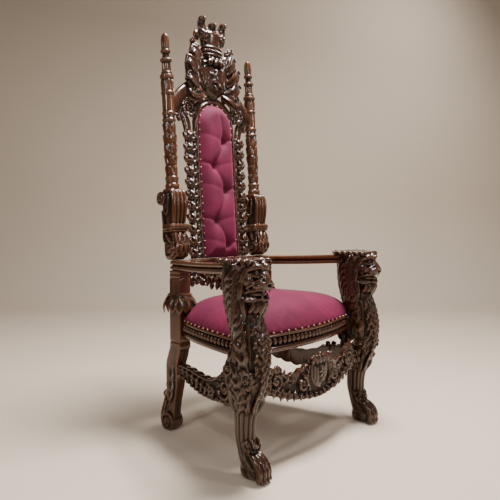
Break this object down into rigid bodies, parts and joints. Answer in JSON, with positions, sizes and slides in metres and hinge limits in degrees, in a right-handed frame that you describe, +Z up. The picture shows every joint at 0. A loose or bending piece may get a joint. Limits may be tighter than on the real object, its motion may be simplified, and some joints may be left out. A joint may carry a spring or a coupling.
{
  "type": "throne",
  "caption": "Tall carved mahogany throne: lion-headed front legs, moulded arms, domed velvet seat and a reclined buttoned back between turned columns under a crowned shield crest.",
  "frame": {"origin": "on the floor, at the middle of the throne's width and depth", "axes": "+Z up, the throne faces -Y, +X is to the right as seen from the front"},
  "size_m": [0.8626, 0.7251, 1.8217],
  "materials": {
    "carved_wood": "dark glossy reddish-brown mahogany polish, near black in the hollows of the carving",
    "turned_wood": "warm brown mahogany, glossy, darker in the grooves",
    "velvet": "wine to magenta cotton velvet with a soft sheen",
    "nail_heads": "domed antique brass nails, bright on the crown"
  },
  "bodies": {
    "root": {"front_leg_left": "carved_wood", "front_leg_right": "carved_wood", "rear_leg_left": "turned_wood", "rear_leg_right": "turned_wood", "arm_left": "turned_wood", "arm_right": "turned_wood", "seat_rail_front": "carved_wood", "seat_rail_left": "carved_wood", "seat_rail_right": "carved_wood", "seat_rail_rear": "carved_wood", "seat_cushion": "velvet", "stretcher_front": "carved_wood", "stretcher_left": "carved_wood", "stretcher_right": "carved_wood", "back_rail": "carved_wood", "back_stile_left": "carved_wood", "back_stile_right": "carved_wood", "crest_rail": "carved_wood", "back_pad": "velvet", "console_left": "turned_wood", "console_right": "turned_wood", "column_left": "turned_wood", "column_right": "turned_wood"}
  },
  "joints": []
}
